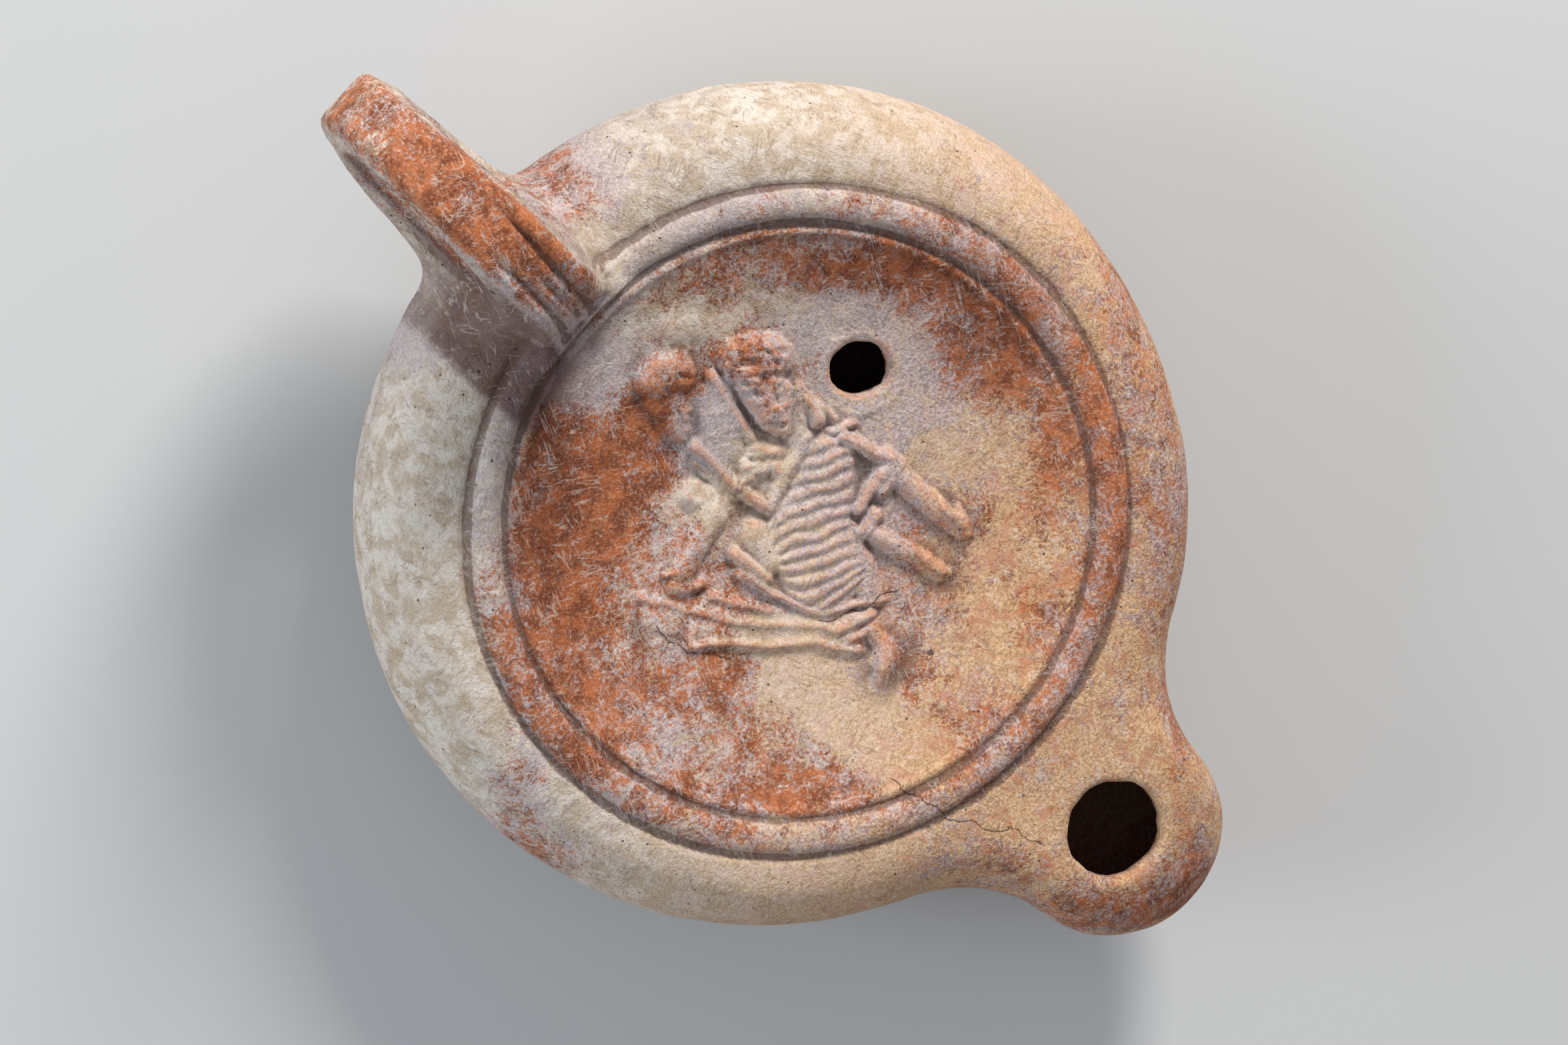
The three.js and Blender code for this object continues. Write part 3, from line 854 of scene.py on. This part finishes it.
mottle = noise(tree, place, 0.45, 4.0, 0.65, 0.4)
fine = noise(tree, place, 3.1, 3.0, 0.7)
sand = noise(tree, place, 7.5, 2.0, 0.6)
colour = blend(tree, ease(tree, mottle, 0.38, 0.62), shade(126, 66, 40), shade(182, 104, 62))
colour = blend(tree, calc(tree, "MULTIPLY", ease(tree, fine, 0.48, 0.66), 0.5), colour, shade(206, 152, 112))
colour = blend(tree, calc(tree, "MULTIPLY", ease(tree, sand, 0.52, 0.7), 0.35), colour, shade(96, 56, 38))

film = calc(tree, "MULTIPLY", worn_layer(mark("lilac"), 31.0, 0.09), 0.78)
film_colour = blend(tree, ease(tree, fine, 0.4, 0.62), shade(158, 138, 134), shade(202, 187, 184))
# Painted reflection: on the left the lilac film turns towards bluish white, a sheen of the left fill light;
# on the right it keeps its own colour.
sheen_to_warmth = mark("sheen_to_warmth")
film_colour = blend(tree, sheen_to_warmth, blend(tree, 0.6, film_colour, shade(205, 205, 208)), film_colour)
colour = blend(tree, film, colour, film_colour)

slip = calc(tree, "MULTIPLY", worn_layer(mark("cream"), 77.0, 0.07), 0.85)
# The slip is paler on the left under the painted sheen and warmer on the right.
pale_slip = blend(tree, ease(tree, mottle, 0.4, 0.6), shade(190, 172, 147), shade(220, 211, 197))
warm_slip = blend(tree, ease(tree, fine, 0.35, 0.65), shade(196, 146, 102), shade(224, 188, 142))
warm_slip = blend(tree, ease(tree, mottle, 0.5, 0.62), warm_slip, shade(198, 140, 98))
slip_colour = blend(tree, sheen_to_warmth, pale_slip, warm_slip)
speckle = calc(tree, "MULTIPLY", ease(tree, sand, 0.48, 0.68), 0.5)
slip_colour = blend(tree, speckle, slip_colour, shade(160, 126, 98))
colour = blend(tree, slip, colour, slip_colour)
# Painted shade multiplied over the layers: the handle's shadow, its hole's funnel and shaded patches, with
# some real stain.
colour = blend(tree, calc(tree, "MULTIPLY", mark("stain_and_shade"), 0.85), colour, shade(126, 92, 88), "MULTIPLY")
grit = calc(tree, "MULTIPLY_ADD", sand, 0.7, calc(tree, "MULTIPLY_ADD", fine, 0.5, 0.36))
grit_grey = put(tree, "ShaderNodeCombineColor", {0: grit, 1: grit, 2: grit}).outputs[0]
colour = blend(tree, 1.0, colour, grit_grey, "MULTIPLY")

height_here = mark("relief")
# Raised crests: bare clay rubbed through the film, lightened further as a painted highlight on the relief.
rubbed_crest_and_highlight = ease(tree, calc(tree, "MULTIPLY_ADD", fine, 0.08, height_here), 0.07, 0.13)
colour = blend(tree, calc(tree, "MULTIPLY", rubbed_crest_and_highlight, 0.42), colour, shade(196, 132, 94))
# Hollows of the relief, the ring grooves and the handle: dirt, darkened further as painted shade.
sunk = calc(tree, "MULTIPLY", height_here, -1.0)
dirt_and_shade_in_hollows = ease(tree, calc(tree, "MULTIPLY_ADD", fine, 0.08, sunk), 0.07, 0.2)
colour = blend(tree, calc(tree, "MULTIPLY", dirt_and_shade_in_hollows, 0.66), colour, shade(92, 66, 56))


def scratches(heading, across_scale, along_scale, width, shift):
    """Thin marks that run mostly one way: where a drawn-out noise passes its middle."""
    turned = put(
        tree,
        "ShaderNodeMapping",
        {"Vector": place, "Location": (shift,) * 3, "Rotation": (0, 0, math.radians(heading))},
    ).outputs[0]
    drawn_out = put(
        tree,
        "ShaderNodeVectorMath",
        {0: turned, 1: (across_scale, along_scale, along_scale)},
        operation="MULTIPLY",
    ).outputs[0]
    off = calc(tree, "ABSOLUTE", calc(tree, "SUBTRACT", noise(tree, drawn_out, 1.0, 2.0, 0.5, 0.3), 0.5))
    line = calc(tree, "SUBTRACT", 1.0, ease(tree, off, width * 0.4, width))
    return calc(tree, "MULTIPLY", line, ease(tree, noise(tree, turned, 0.35, 3.0), 0.5, 0.58))


pale_fibres = calc(
    tree,
    "MAXIMUM",
    scratches(25, 1.3, 0.16, 0.024, 11.0),
    scratches(-50, 1.1, 0.2, 0.024, 29.0),
)
dark_fibres = calc(
    tree,
    "MAXIMUM",
    scratches(-20, 1.2, 0.2, 0.022, 43.0),
    scratches(70, 1.4, 0.22, 0.022, 61.0),
)
colour = blend(tree, calc(tree, "MULTIPLY", pale_fibres, 0.32), colour, shade(222, 208, 196))
colour = blend(tree, calc(tree, "MULTIPLY", dark_fibres, 0.35), colour, shade(112, 82, 66))

cells = put(tree, "ShaderNodeTexVoronoi", {"Vector": place, "Scale": 0.75})
chosen = put(tree, "ShaderNodeSeparateColor", {0: cells.outputs["Color"]}).outputs[0]
near = calc(tree, "SUBTRACT", 1.0, ease(tree, cells.outputs["Distance"], 0.05, 0.13))
pore = calc(tree, "MULTIPLY", near, ease(tree, chosen, 0.7, 0.72))
pits = put(tree, "ShaderNodeTexVoronoi", {"Vector": place, "Scale": 0.16})
pit_chosen = put(tree, "ShaderNodeSeparateColor", {0: pits.outputs["Color"]}).outputs[1]
pit_edge = calc(tree, "MULTIPLY_ADD", fine, 0.06, pits.outputs["Distance"])
pit = calc(tree, "SUBTRACT", 1.0, ease(tree, pit_edge, 0.07, 0.1))
pore = calc(tree, "MAXIMUM", pore, calc(tree, "MULTIPLY", pit, ease(tree, pit_chosen, 0.7, 0.72)))
colour = blend(tree, calc(tree, "MULTIPLY", pore, 0.8), colour, shade(58, 40, 32))

split = None
for name in ("crack_nozzle", "crack_couch", "crack_skirt"):
    wobbled = calc(tree, "MULTIPLY_ADD", calc(tree, "SUBTRACT", mottle, 0.5), 1.6, mark(name))
    line = calc(tree, "SUBTRACT", 1.0, ease(tree, calc(tree, "ABSOLUTE", wobbled), 0.03, 0.12))
    line = calc(tree, "MULTIPLY", line, ease(tree, fine, 0.36, 0.5))
    split = line if split is None else calc(tree, "MAXIMUM", split, line)
colour = blend(tree, calc(tree, "MULTIPLY", split, 0.85), colour, shade(70, 46, 36))
# Painted shade: the inside of the body, seen down the holes, is darkened.
colour = blend(tree, calc(tree, "MULTIPLY", mark("inside"), 0.75), colour, shade(88, 56, 40))
tree.links.new(colour, surface.inputs["Base Color"])

rough = calc(tree, "MULTIPLY_ADD", fine, 0.12, 0.8)
tree.links.new(rough, surface.inputs["Roughness"])
surface.inputs["Specular IOR Level"].default_value = 0.3
coarse = noise(tree, place, 1.3, 4.0, 0.6)
height = calc(tree, "MULTIPLY", coarse, 0.2)
height = calc(tree, "MULTIPLY_ADD", fine, 0.2, height)
height = calc(tree, "MULTIPLY_ADD", sand, 0.07, height)
height = calc(tree, "MULTIPLY_ADD", slip, 0.03, height)
height = calc(tree, "MULTIPLY_ADD", pore, -0.2, height)
height = calc(tree, "MULTIPLY_ADD", split, -0.15, height)
height = calc(tree, "MULTIPLY_ADD", dark_fibres, -0.03, height)
bump = put(tree, "ShaderNodeBump", {"Strength": 0.8, "Distance": MM, "Height": height})
tree.links.new(bump.outputs[0], surface.inputs["Normal"])

lamp = bpy.data.objects.new("clay_lamp", clay)
bpy.context.collection.objects.link(lamp)
clay.shade_smooth()
clay.materials.append(fired)
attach(lamp, "root")
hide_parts("lamp_body")


# ---------------------------------------------------------------------------------------------------
# The studio: a plain pale floor, a broad soft key light and a weak fill, and the camera above.

floor = bpy.data.objects.new("floor", bpy.data.meshes.new("floor"))
form = bmesh.new()
bmesh.ops.create_grid(form, x_segments=1, y_segments=1, size=3)
form.to_mesh(floor.data)
form.free()
bpy.context.collection.objects.link(floor)
pale = bpy.data.materials.new("pale_floor")
pale.use_nodes = True
pale.node_tree.nodes["Principled BSDF"].inputs["Base Color"].default_value = (0.55, 0.55, 0.54, 1)
pale.node_tree.nodes["Principled BSDF"].inputs["Roughness"].default_value = 0.9
floor.data.materials.append(pale)

world = bpy.data.worlds.new("studio")
world.use_nodes = True
world.node_tree.nodes["Background"].inputs["Color"].default_value = (0.9, 0.93, 1, 1)
world.node_tree.nodes["Background"].inputs["Strength"].default_value = 0.42
bpy.context.scene.world = world
bpy.context.scene.view_settings.view_transform = "Standard"

picture_right = Vector((math.cos(scene_turn), -math.sin(scene_turn), 0))
picture_up = Vector((math.sin(scene_turn), math.cos(scene_turn), 0))


def soft_light(name, towards, height, size, power, colour):
    data = bpy.data.lights.new(name, "AREA")
    data.shape = "DISK"
    data.size = size
    data.energy = power
    data.color = colour
    light = bpy.data.objects.new(name, data)
    light.location = towards + Vector((0, 0, height))
    light.rotation_mode = "QUATERNION"
    light.rotation_quaternion = (-light.location).to_track_quat("-Z", "Y")
    bpy.context.collection.objects.link(light)


soft_light("key", picture_up * 0.66 + picture_right * 0.14, 0.38, 0.24, 7.2, (1, 0.97, 0.94))
soft_light("fill", picture_right * -0.7, 0.3, 0.4, 3.4, (0.8, 0.9, 1))

camera_data = bpy.data.cameras.new("camera")
camera_data.sensor_width = 36
distance = 0.6
tilt, swing = math.radians(16.8), math.radians(8.1)
view_width = 0.15678
camera_data.lens = distance * camera_data.sensor_width / view_width
camera = bpy.data.objects.new("camera", camera_data)
back = Vector((-math.sin(swing) * math.sin(tilt), math.cos(swing) * math.sin(tilt), math.cos(tilt)))
upright = Vector((0, 1, 0))
upright = (upright - upright.dot(back) * back).normalized()
right = upright.cross(back)
turned_right = right * math.cos(scene_turn) - upright * math.sin(scene_turn)
turned_up = right * math.sin(scene_turn) + upright * math.cos(scene_turn)
aim_right, aim_down = 0.00095, 0.00174
aim = Vector((0, 0, widest_height * MM)) + turned_right * aim_right - turned_up * aim_down
camera.matrix_world = Matrix.Translation(aim + back * distance) @ Matrix(
    (turned_right, turned_up, back)
).transposed().to_4x4()
bpy.context.collection.objects.link(camera)
bpy.context.scene.camera = camera
